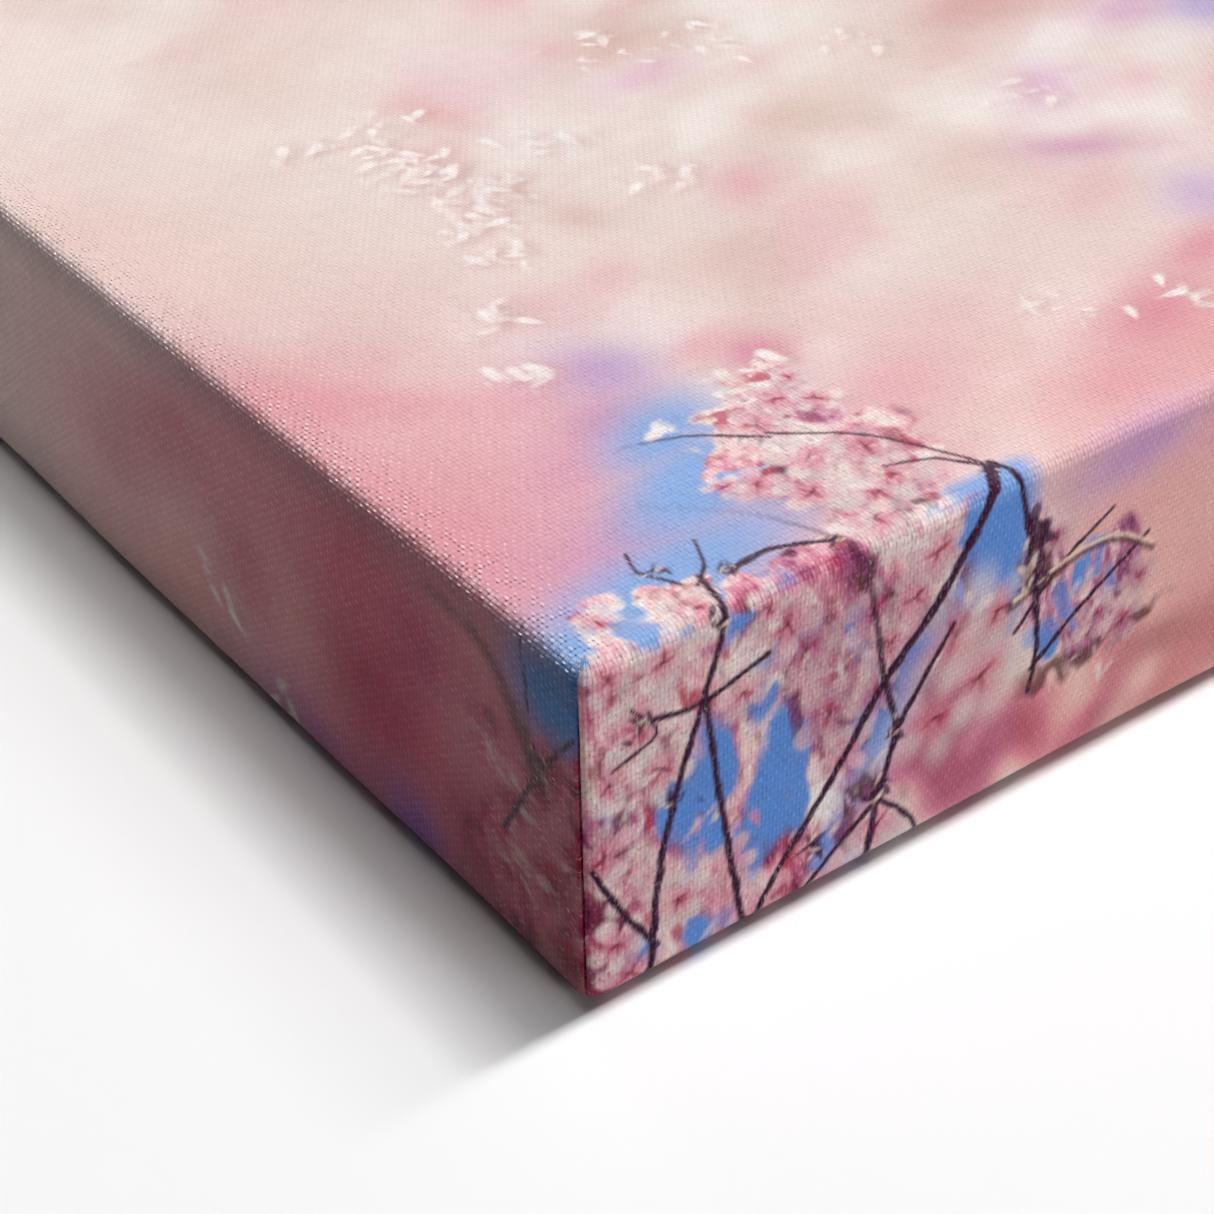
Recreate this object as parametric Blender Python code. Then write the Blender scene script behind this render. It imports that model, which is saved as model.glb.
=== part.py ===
"""Stretched canvas: printed cloth pulled over four stretcher bars and stapled at the back.

Units are metres and +Z is up. The picture lies face up, with its back on the plane z = 0. X runs
across the picture, +Y is the edge that hangs uppermost, and the origin is the middle of the back.
"""

import math

import bmesh
import bpy
from mathutils import Matrix, Vector

# Stretcher frame: nominal 16 x 20 inch, on bars 1.5 inch deep.
FRAME_WIDTH = 0.4064
FRAME_LENGTH = 0.5080
BAR_WIDTH = 0.0380
BAR_DEPTH = 0.0381
GAP = 0.0003  # clearance between neighbouring pieces

# Cross-section of a bar, across its width from the outer face.
LIP_WIDTH = 0.0050  # raised bead that holds the cloth clear of the rest of the bar
LIP_SLOPE_WIDTH = 0.0030
LIP_HEIGHT = 0.0030
INNER_FALL = 0.0018  # further fall from the foot of the bead to the inner edge
FRONT_RADIUS = 0.0015
BACK_RADIUS = 0.0010
INNER_CHAMFER = 0.0010
CORNER_CHAMFER = 0.0010  # on the upright corner edge of the frame

# Corner joint: two tongues, one above the other, each in the other bar's slot.
LEVELS = (0.0135, 0.0190, 0.0245)  # heights in the bar between back cheek, tongues and front cheek
SHOULDER = 0.0012  # width of the wedge channel at the bar's outer face
SHOULDER_SLOPE = 0.18

# Corner keys, the loose wedges that spread the joint.
KEY_TIP = 0.0140  # distance of the tip from the bar's outer face
KEY_LENGTH = 0.0360
KEY_BEVEL = 0.0004

# Cloth.
CLOTH = 0.00045
HEM_WIDTH = 0.0280  # cloth turned onto the back of the bars
ROUND_STEPS = 3

# Staples.
WIRE_THICK = 0.0005
WIRE_WIDTH = 0.00125
CROWN = 0.0106
LEG = 0.0080
STAPLE_INSET = 0.0165
STAPLES_ACROSS = 7
STAPLES_ALONG = 9
CORNER_STAPLE_INSET = 0.0125

# Heights, from the staple crowns upwards.
HEM_Z = WIRE_THICK + GAP
BAR_Z = HEM_Z + CLOTH + GAP
BAR_TOP = BAR_Z + BAR_DEPTH
FACE_Z = BAR_TOP + GAP + CLOTH


def make_material(name, color, roughness, metallic=0.0):
    material = bpy.data.materials.new(name)
    material.use_nodes = True
    shader = material.node_tree.nodes["Principled BSDF"]
    shader.inputs["Base Color"].default_value = (*color, 1.0)
    shader.inputs["Roughness"].default_value = roughness
    shader.inputs["Metallic"].default_value = metallic
    return material


def add_object(name, mesh, material=None, matrix=Matrix.Identity(4)):
    item = bpy.data.objects.new(name, mesh)
    if material and not mesh.materials:
        mesh.materials.append(material)
    item.matrix_world = matrix
    bpy.context.scene.collection.objects.link(item)
    return item


def to_mesh(name, bm):
    bmesh.ops.recalc_face_normals(bm, faces=bm.faces)
    mesh = bpy.data.meshes.new(name)
    bm.to_mesh(mesh)
    bm.free()
    return mesh


def prism(bm, outline, direction):
    """Extrude a flat outline of 3-D points along a direction, as a closed body."""
    base = bm.faces.new([bm.verts.new(point) for point in outline])
    top = bmesh.ops.extrude_face_region(bm, geom=[base], use_keep_orig=True)["geom"]
    moved = [item for item in top if isinstance(item, bmesh.types.BMVert)]
    bmesh.ops.translate(bm, verts=moved, vec=direction)


def as_cutter(item):
    item.hide_render = True
    item.display_type = "WIRE"
    return item


def cut(item, cutter):
    modifier = item.modifiers.new(cutter.name, "BOOLEAN")
    modifier.operation = "DIFFERENCE"
    modifier.object = cutter


# ---------------------------------------------------------------- stretcher bars

def bar_profile():
    """Outline of a bar's section: (distance from its outer face, height above its back)."""
    def arc(centre, radius, start, end):
        angles = [start + (end - start) * i / ROUND_STEPS for i in range(ROUND_STEPS + 1)]
        return [(centre[0] + radius * math.cos(a), centre[1] + radius * math.sin(a)) for a in angles]

    foot = LIP_WIDTH + LIP_SLOPE_WIDTH
    inner_top = BAR_DEPTH - LIP_HEIGHT - INNER_FALL
    return [
        *arc((BACK_RADIUS, BACK_RADIUS), BACK_RADIUS, math.pi, 1.5 * math.pi),
        (BAR_WIDTH - INNER_CHAMFER, 0.0),
        (BAR_WIDTH, INNER_CHAMFER),
        (BAR_WIDTH, inner_top - INNER_CHAMFER),
        (BAR_WIDTH - INNER_CHAMFER, inner_top),
        (foot, BAR_DEPTH - LIP_HEIGHT),
        (LIP_WIDTH, BAR_DEPTH),
        *arc((FRONT_RADIUS, BAR_DEPTH - FRONT_RADIUS), FRONT_RADIUS, 0.5 * math.pi, math.pi),
    ]


def end_cutters(name, length, slot):
    """Cutters for both ends of a bar that lies along X with its outer face on y = 0.

    The two cheeks are mitred at 45 degrees. At the slot level the bar stops at a sloping shoulder,
    which leaves a wedge-shaped channel beside the other bar's tongue. An outline is given as
    (distance from the bar's end, distance from its outer face).
    """
    over = 0.002
    mitre = GAP * math.sqrt(0.5)
    wide = BAR_WIDTH + over
    cheek = [(-over, -over - mitre), (wide, wide - mitre), (-over, wide - mitre)]
    shoulder = [
        (-over, -over),
        (BAR_WIDTH + SHOULDER - SHOULDER_SLOPE * over, -over),
        (BAR_WIDTH + SHOULDER + SHOULDER_SLOPE * wide, wide),
        (-over, wide),
    ]
    corner = [(-over, -over), (CORNER_CHAMFER + over, -over), (-over, CORNER_CHAMFER + over)]
    half = 0.5 * GAP
    parts = {
        "back_mitre": (cheek, -over, LEVELS[0] + half),
        "front_mitre": (cheek, LEVELS[2] - half, BAR_DEPTH + over),
        "slot": (shoulder, LEVELS[slot] - half, LEVELS[slot + 1] + half),
        "corner": (corner, -over, BAR_DEPTH + over),
    }
    cutters = []
    for part, (outline, low, high) in parts.items():
        bm = bmesh.new()
        for side in (-1, 1):
            points = [(side * (0.5 * length - a), across, low) for a, across in outline]
            prism(bm, points, (0, 0, high - low))
        cutters.append(as_cutter(add_object(f"{name}_{part}_cutter", to_mesh(part, bm))))
    return cutters


def make_bar(name, length, slot, matrix, material, leg_cutter):
    bm = bmesh.new()
    section = [(-0.5 * length, across, height) for across, height in bar_profile()]
    prism(bm, section, (length, 0, 0))
    bar = add_object(name, to_mesh(name, bm), material, matrix)
    for cutter in end_cutters(name, length, slot):
        cutter.matrix_world = matrix
        cut(bar, cutter)
    cut(bar, leg_cutter)
    return bar


# ---------------------------------------------------------------- corner keys

def make_key_mesh(low, high):
    """A wedge along +X whose straight side is on y = 0; its broad head is at x = KEY_LENGTH."""
    slant = GAP * math.hypot(1.0, SHOULDER_SLOPE)

    def width(along):
        return SHOULDER + SHOULDER_SLOPE * (KEY_TIP + along) - slant - GAP

    nose = 0.0015
    outline = [
        (0.0, 0.0),
        (KEY_LENGTH - nose, 0.0),
        (KEY_LENGTH, nose),
        (KEY_LENGTH, width(KEY_LENGTH) - nose),
        (KEY_LENGTH - nose, width(KEY_LENGTH - nose)),
        (0.0, width(0.0)),
    ]
    bm = bmesh.new()
    prism(bm, [(x, y, low) for x, y in outline], (0, 0, high - low))
    return to_mesh("corner_key", bm)


def make_keys(material):
    """Two wedges at each corner: the lower slides along X, the upper along Y."""
    height = 0.5 * (LEVELS[1] - LEVELS[0]) - GAP
    mesh = make_key_mesh(-height, height)
    mesh.materials.append(material)
    for y_name, y_side in (("bottom", -1), ("top", 1)):
        for x_name, x_side in (("left", -1), ("right", 1)):
            corner = Vector((x_side * 0.5 * FRAME_WIDTH, y_side * 0.5 * FRAME_LENGTH, BAR_Z))
            for level, (kind, main, other) in enumerate((
                ("x", Vector((-x_side, 0, 0)), Vector((0, -y_side, 0))),
                ("y", Vector((0, -y_side, 0)), Vector((-x_side, 0, 0))),
            )):
                middle = 0.5 * (LEVELS[level] + LEVELS[level + 1])
                place = corner + main * KEY_TIP + other * (BAR_WIDTH + GAP) + Vector((0, 0, middle))
                up = main.cross(other)
                turn = Matrix((main, other, up)).transposed().to_4x4()
                key = add_object(f"key_{y_name}_{x_name}_{kind}", mesh, None,
                                 Matrix.Translation(place) @ turn)
                bevel = key.modifiers.new("edges", "BEVEL")
                bevel.width = KEY_BEVEL
                bevel.segments = 1


# ---------------------------------------------------------------- staples

def staple_places():
    """(name, matrix) of each staple: its crown on z = 0, with X along the crown."""
    half_x, half_y = 0.5 * FRAME_WIDTH, 0.5 * FRAME_LENGTH
    places = []

    def add(name, x, y, angle):
        places.append((name, Matrix.Translation((x, y, 0)) @ Matrix.Rotation(angle, 4, "Z")))

    sides = (
        ("bottom", STAPLES_ACROSS, half_x, half_y, 0.0),
        ("right", STAPLES_ALONG, half_y, half_x, 0.5 * math.pi),
        ("top", STAPLES_ACROSS, half_x, half_y, math.pi),
        ("left", STAPLES_ALONG, half_y, half_x, 1.5 * math.pi),
    )
    for side, count, half_run, half_across, angle in sides:
        pitch = 2 * half_run / (count + 0.6)
        for i in range(count):
            # Set by hand: each one wanders a little and leans a few degrees.
            wander = 0.0018 * math.sin(2.3 * i + 5 * angle)
            lean = math.radians(5.0) * math.sin(1.7 * i + 2 * angle)
            along = (i - 0.5 * (count - 1)) * pitch + wander
            across = -half_across + STAPLE_INSET + 0.6 * wander
            x = along * math.cos(angle) - across * math.sin(angle)
            y = along * math.sin(angle) + across * math.cos(angle)
            add(f"staple_{side}_{i + 1}", x, y, angle + lean)
    for y_name, y_side in (("bottom", -1), ("top", 1)):
        for x_name, x_side in (("left", -1), ("right", 1)):
            x = x_side * (half_x - CORNER_STAPLE_INSET)
            y = y_side * (half_y - CORNER_STAPLE_INSET)
            add(f"staple_corner_{y_name}_{x_name}", x, y, -x_side * y_side * 0.25 * math.pi)
    return places


def make_staple_mesh():
    half = 0.5 * CROWN
    bend = 0.35 * WIRE_THICK
    outline = [
        (-half, LEG),
        (-half, bend),
        (-half + bend, 0.0),
        (half - bend, 0.0),
        (half, bend),
        (half, LEG),
        (half - WIRE_THICK, LEG),
        (half - WIRE_THICK, WIRE_THICK),
        (-half + WIRE_THICK, WIRE_THICK),
        (-half + WIRE_THICK, LEG),
    ]
    bm = bmesh.new()
    prism(bm, [(x, -0.5 * WIRE_WIDTH, z) for x, z in outline], (0, WIRE_WIDTH, 0))
    return to_mesh("staple", bm)


def make_leg_cutter(places):
    """One box around each staple leg, with clearance."""
    bm = bmesh.new()
    deep = 0.5 * WIRE_WIDTH + GAP
    low = WIRE_THICK + 0.5 * GAP
    for _, matrix in places:
        for side in (-1, 1):
            near = side * (0.5 * CROWN - WIRE_THICK) - side * GAP
            far = side * 0.5 * CROWN + side * GAP
            corners = [(near, -deep, low), (far, -deep, low), (far, deep, low), (near, deep, low)]
            prism(bm, [matrix @ Vector(c) for c in corners], (0, 0, LEG + GAP - low))
    return as_cutter(add_object("staple_leg_cutter", to_mesh("staple_leg_cutter", bm)))


# ---------------------------------------------------------------- cloth

def cloth_path(offset):
    """(inset from the frame's outer face, height) from the hem up to the face.

    The path runs `offset` outside the bars, around their rounded edges.
    """
    path = [(HEM_WIDTH, BAR_Z - offset)]
    for radius, height, start in (
        (BACK_RADIUS, BAR_Z + BACK_RADIUS, 1.5 * math.pi),
        (FRONT_RADIUS, BAR_TOP - FRONT_RADIUS, math.pi),
    ):
        reach = radius + offset
        for i in range(ROUND_STEPS + 1):
            angle = start - 0.5 * math.pi * i / ROUND_STEPS
            path.append((radius + reach * math.cos(angle), height + reach * math.sin(angle)))
    return path


def cloth_ring(bm, inset, height, corner_radius):
    """A rectangle with rounded corners, `inset` inside the frame's outer faces."""
    ring = []
    half_x = 0.5 * FRAME_WIDTH - inset - corner_radius
    half_y = 0.5 * FRAME_LENGTH - inset - corner_radius
    for quarter, (x, y) in enumerate(((half_x, half_y), (-half_x, half_y),
                                      (-half_x, -half_y), (half_x, -half_y))):
        for i in range(ROUND_STEPS + 1):
            angle = 0.5 * math.pi * (quarter + i / ROUND_STEPS)
            ring.append(bm.verts.new((x + corner_radius * math.cos(angle),
                                      y + corner_radius * math.sin(angle), height)))
    return ring


def make_canvas(material, leg_cutter):
    """A tray of cloth: the face, four sides and a hem turned onto the back of the bars."""
    bm = bmesh.new()
    skins = []
    for offset in (GAP + CLOTH, GAP):
        rings = []
        for inset, height in cloth_path(offset):
            radius = max(CORNER_CHAMFER - inset, 0.0005)
            rings.append(cloth_ring(bm, inset, height, radius))
        for lower, upper in zip(rings, rings[1:]):
            count = len(lower)
            for i in range(count):
                j = (i + 1) % count
                bm.faces.new((lower[i], lower[j], upper[j], upper[i]))
        bm.faces.new(rings[-1])
        skins.append(rings)
    outer, inner = skins[0][0], skins[1][0]
    for i in range(len(outer)):
        j = (i + 1) % len(outer)
        bm.faces.new((outer[i], outer[j], inner[j], inner[i]))
    canvas = add_object("canvas", to_mesh("canvas", bm), material)
    cut(canvas, leg_cutter)
    canvas.data.set_sharp_from_angle(angle=math.radians(35))
    return canvas


def main():
    for item in list(bpy.data.objects):
        bpy.data.objects.remove(item, do_unlink=True)

    cloth = make_material("printed_cotton_canvas", (0.86, 0.76, 0.73), 0.85)
    pine = make_material("pine_bar", (0.78, 0.60, 0.38), 0.62)
    wedge = make_material("beech_key", (0.72, 0.52, 0.33), 0.58)
    steel = make_material("galvanised_staple", (0.62, 0.63, 0.64), 0.34, 1.0)

    places = staple_places()
    leg_cutter = make_leg_cutter(places)
    half_x, half_y = 0.5 * FRAME_WIDTH, 0.5 * FRAME_LENGTH
    bars = (
        ("bar_bottom", FRAME_WIDTH, 1, (0, -half_y), 0.0),
        ("bar_right", FRAME_LENGTH, 0, (half_x, 0), 0.5 * math.pi),
        ("bar_top", FRAME_WIDTH, 1, (0, half_y), math.pi),
        ("bar_left", FRAME_LENGTH, 0, (-half_x, 0), 1.5 * math.pi),
    )
    for name, length, slot, (x, y), angle in bars:
        matrix = Matrix.Translation((x, y, BAR_Z)) @ Matrix.Rotation(angle, 4, "Z")
        make_bar(name, length, slot, matrix, pine, leg_cutter)

    make_keys(wedge)
    make_canvas(cloth, leg_cutter)

    staple = make_staple_mesh()
    staple.materials.append(steel)
    for name, matrix in places:
        add_object(name, staple, None, matrix)


main()
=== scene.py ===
import math

import bmesh
import bpy
import numpy as np
from mathutils import Matrix, Vector


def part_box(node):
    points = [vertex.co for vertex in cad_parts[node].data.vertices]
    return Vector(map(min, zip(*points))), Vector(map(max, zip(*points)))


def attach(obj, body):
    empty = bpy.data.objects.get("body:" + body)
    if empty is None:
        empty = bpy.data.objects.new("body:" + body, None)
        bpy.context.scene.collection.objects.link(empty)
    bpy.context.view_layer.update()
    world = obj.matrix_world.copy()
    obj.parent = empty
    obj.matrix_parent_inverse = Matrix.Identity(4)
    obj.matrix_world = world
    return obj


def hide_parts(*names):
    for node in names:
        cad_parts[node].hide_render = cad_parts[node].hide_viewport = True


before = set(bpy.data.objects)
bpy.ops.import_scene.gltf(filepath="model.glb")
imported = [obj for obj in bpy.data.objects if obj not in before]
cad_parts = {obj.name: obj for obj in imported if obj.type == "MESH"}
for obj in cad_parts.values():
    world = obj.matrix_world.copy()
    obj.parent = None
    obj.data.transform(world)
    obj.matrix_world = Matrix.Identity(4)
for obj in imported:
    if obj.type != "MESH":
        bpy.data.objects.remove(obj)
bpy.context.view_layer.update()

LOW, HIGH = (Vector(corner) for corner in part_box("canvas"))

# ---------------------------------------------------------------- sizes, metres

HALF_X, HALF_Y = HIGH.x, HIGH.y  # outer faces of the cloth
TOP = HIGH.z
HEM_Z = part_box("staple_left_5")[0][2] + 0.00052  # the staple crowns press on the hem
ROUND = 0.0020  # radius of the wrapped front edges and of the upright corners
ROUND_BACK = 0.0013  # radius of the wrapped back edges
CLOTH = 0.00045  # thickness of the canvas
HEM = 0.0280
TUCK = 0.0024  # how far the tips of the short hems lie under the long ones
MITRE = 0.040  # the hems draw in over this length at their ends
SWELL, HOLLOW = 0.00012, 0.00008  # slow waves of the sides, and how far they lie in
UNDERLAP = 0.00044  # how far the long hems stand off at their tips, to clear the short ones
SEAM_ANGLE = math.radians(58)  # where the fold's edge lies on an upright corner
CREASE = 0.00075  # depth of the crease beside that edge
PITCH_A = 0.000493  # spacing of the threads that run along Y
PITCH_B = 0.000711  # spacing of the threads that run along X

ARC = 0.5 * math.pi * ROUND
ARC_BACK = 0.5 * math.pi * ROUND_BACK
SIDE = (TOP - ROUND) - (HEM_Z + ROUND_BACK)
REACH = ARC + SIDE + ARC_BACK  # from the flat of the face, down the side, to the hem
FLAT_X, FLAT_Y = HALF_X - ROUND, HALF_Y - ROUND
WRAP = FLAT_X + 0.5 * ARC, FLAT_Y + 0.5 * ARC  # the middle of the wrapped edge, on the flat cloth


# ================================================================ the picture
# Painted on the flat cloth. a and b are millimetres from the near left corner of the face: a runs
# along +X and b along +Y, and both go below zero where the cloth turns down the sides.

def linear(*rgb):
    """A screen colour, 0 to 255, as linear light."""
    c = np.asarray(rgb, float) / 255.0
    return np.where(c <= 0.04045, c / 12.92, ((c + 0.055) / 1.055) ** 2.4)


WHITE_PINK = linear(253, 236, 232)
CREAM = linear(252, 228, 214)
PALE = linear(247, 208, 212)
ROSE = linear(234, 156, 174)
MAUVE = linear(190, 108, 148)
CRIMSON = linear(196, 44, 84)
PLUM = linear(56, 8, 48)
BROWN = linear(112, 66, 52)
TAN = linear(172, 136, 108)


def smooth(x):
    x = np.clip(x, 0.0, 1.0)
    return x * x * (3.0 - 2.0 * x)


def noise(x, y, seed):
    """Smooth value noise from 0 to 1, one cell to the unit."""
    xi, yi = np.floor(x).astype(np.int64), np.floor(y).astype(np.int64)
    fx, fy = smooth(x - xi), smooth(y - yi)

    def lattice(i, j):
        h = (i * 374761393 + j * 668265263 + seed * 974634777) & 0xFFFFFFFF
        h = ((h ^ (h >> 13)) * 1274126177) & 0xFFFFFFFF
        return ((h ^ (h >> 16)) & 0xFFFF) / 65535.0

    low = lattice(xi, yi) * (1 - fx) + lattice(xi + 1, yi) * fx
    high = lattice(xi, yi + 1) * (1 - fx) + lattice(xi + 1, yi + 1) * fx
    return low * (1 - fy) + high * fy


def layered(x, y, seed, octaves=3, fade=0.5):
    """Noise at several scales, spread over most of 0 to 1."""
    total, size, weight = 0.0, 0.0, 1.0
    for k in range(octaves):
        total = total + weight * noise(x * 2 ** k + 17.3 * k, y * 2 ** k - 9.1 * k, seed + k)
        size += weight
        weight *= fade
    return np.clip(0.5 + (total / size - 0.5) * 1.45, 0, 1)


def ramp(t, *stops):
    """Colours along a scale from 0 to 1. Each stop is a mark and a colour, linear or as 0 to 255."""
    marks = [mark for mark, _ in stops]
    colors = np.array([linear(*tone) if isinstance(tone, tuple) else tone for _, tone in stops])
    return np.stack([np.interp(t, marks, colors[:, k]) for k in range(3)], axis=-1)


def near(a, b, ca, cb, reach):
    return np.nonzero((np.abs(a - ca) < reach) & (np.abs(b - cb) < reach))[0]


def wash(color, mask, paint):
    """Lay a paint over every colour, as far as the mask says."""
    color += (paint - color) * mask[:, None]


def blend_in(color, index, mask, paint):
    """The same over some of the points only."""
    color[index] += (paint - color[index]) * mask[:, None]


def beside(rng, ca, cb, spread):
    """A random place near (ca, cb)."""
    return ca + rng.normal(0, spread), cb + rng.normal(0, spread)


def glow(color, a, b, ca, cb, ra, rb, paint, strength=1.0, turn=0.0):
    """A soft patch of colour, out of focus."""
    i = near(a, b, ca, cb, 2.6 * max(ra, rb))
    if len(i):
        c, s = math.cos(turn), math.sin(turn)
        x, y = a[i] - ca, b[i] - cb
        u, v = (x * c + y * s) / ra, (y * c - x * s) / rb
        blend_in(color, i, strength * np.exp(-1.15 * (u * u + v * v)), paint)


def petal(color, a, b, ca, cb, length, width, turn, base, tip, soft, strength=1.0):
    """One petal: narrow and darker at its foot, broad and pale at its tip."""
    i = near(a, b, ca, cb, 1.6 * length + soft)
    if len(i) == 0:
        return
    c, s = math.cos(turn), math.sin(turn)
    x, y = a[i] - ca, b[i] - cb
    u, v = (x * c + y * s) / length, (y * c - x * s) / width
    v = v / (0.78 + 0.30 * u)
    r = np.hypot(u, v)
    mask = strength * smooth((1.0 - r) * min(length, width) / soft + 0.5)
    along = smooth(0.5 + 0.62 * u)[:, None]
    blend_in(color, i, mask, base + (tip - base) * along)


def blossom(color, a, b, rng, ca, cb, size, tip, base, strength=1.0, soft=0.75):
    """One open flower: five broad petals round a dark red eye, over its own shadow."""
    glow(color, a, b, ca + 0.1 * size, cb - 0.45 * size, 0.9 * size, 0.7 * size, base * 0.45,
         0.42 * strength)
    turn = rng.uniform(0, 6.3)
    for k in range(5):
        way = turn + 1.2566 * k + rng.normal(0, 0.14)
        reach = size * rng.uniform(0.48, 0.62)
        pa, pb = ca + reach * math.cos(way), cb + reach * math.sin(way)
        petal(color, a, b, pa, pb, 0.54 * size, size * rng.uniform(0.32, 0.44), way, base,
              tip * rng.uniform(0.74, 1.0), soft, strength * rng.uniform(0.75, 1.0))
    for k in range(4):
        way = rng.uniform(0, 6.3)
        petal(color, a, b, ca + 0.16 * size * math.cos(way), cb + 0.16 * size * math.sin(way), 0.24 * size,
              0.08 * size, way, CRIMSON * 0.35, CRIMSON, 0.5, 0.85 * strength)


def curve_points(points, step):
    """Points along a smooth curve through the given ones."""
    p = np.asarray(points, float)
    p = np.vstack((2 * p[0] - p[1], p, 2 * p[-1] - p[-2]))
    out = []
    for k in range(1, len(p) - 2):
        n = max(2, int(np.linalg.norm(p[k + 1] - p[k]) / step))
        for t in np.arange(n) / n:
            out.append(0.5 * (2 * p[k] + (p[k + 1] - p[k - 1]) * t
                              + (2 * p[k - 1] - 5 * p[k] + 4 * p[k + 1] - p[k + 2]) * t * t
                              + (3 * p[k] - p[k - 1] - 3 * p[k + 1] + p[k + 2]) * t ** 3))
    out.append(p[-2])
    return np.array(out)


def twig(color, a, b, rng, points, wide, thin, fade=0.0, soft=0.34, paint=PLUM, strength=1.0,
         lit=0.14):
    """A twig that tapers from wide to thin, with a few knots and one lit side. Its foot can fade."""
    line = curve_points(points, 1.1)
    line = line + rng.normal(0, 0.06, line.shape)
    count = len(line) - 1
    lo, hi = line.min(0) - 3 - soft, line.max(0) + 3 + soft
    i = np.nonzero((a > lo[0]) & (a < hi[0]) & (b > lo[1]) & (b < hi[1]))[0]
    if len(i) == 0:
        return
    best, side, when = np.full(len(i), 99.0), np.zeros(len(i)), np.zeros(len(i))
    for k in range(count):
        p, d = line[k], line[k + 1] - line[k]
        x, y = a[i] - p[0], b[i] - p[1]
        t = np.clip((x * d[0] + y * d[1]) / max(d @ d, 1e-9), 0, 1)
        ex, ey = x - t * d[0], y - t * d[1]
        knot = 1.0 + 0.30 * math.sin(1.3 * k + wide * 9) ** 8
        half = 0.5 * (wide + (thin - wide) * (k + 0.5) / count) * knot
        dist = np.hypot(ex, ey) - half
        closer = dist < best
        best = np.where(closer, dist, best)
        when = np.where(closer, (k + t) / count, when)
        side = np.where(closer, (d[0] * ey - d[1] * ex) / (np.linalg.norm(d) * half + 1e-9), side)
    mask = strength * smooth(0.5 - best / soft) * (1 - fade * smooth(1 - 1.6 * when))
    tone = paint + (linear(150, 96, 130) - paint) * (lit * smooth(side + 0.2)[:, None])
    blend_in(color, i, mask, tone)


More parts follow.
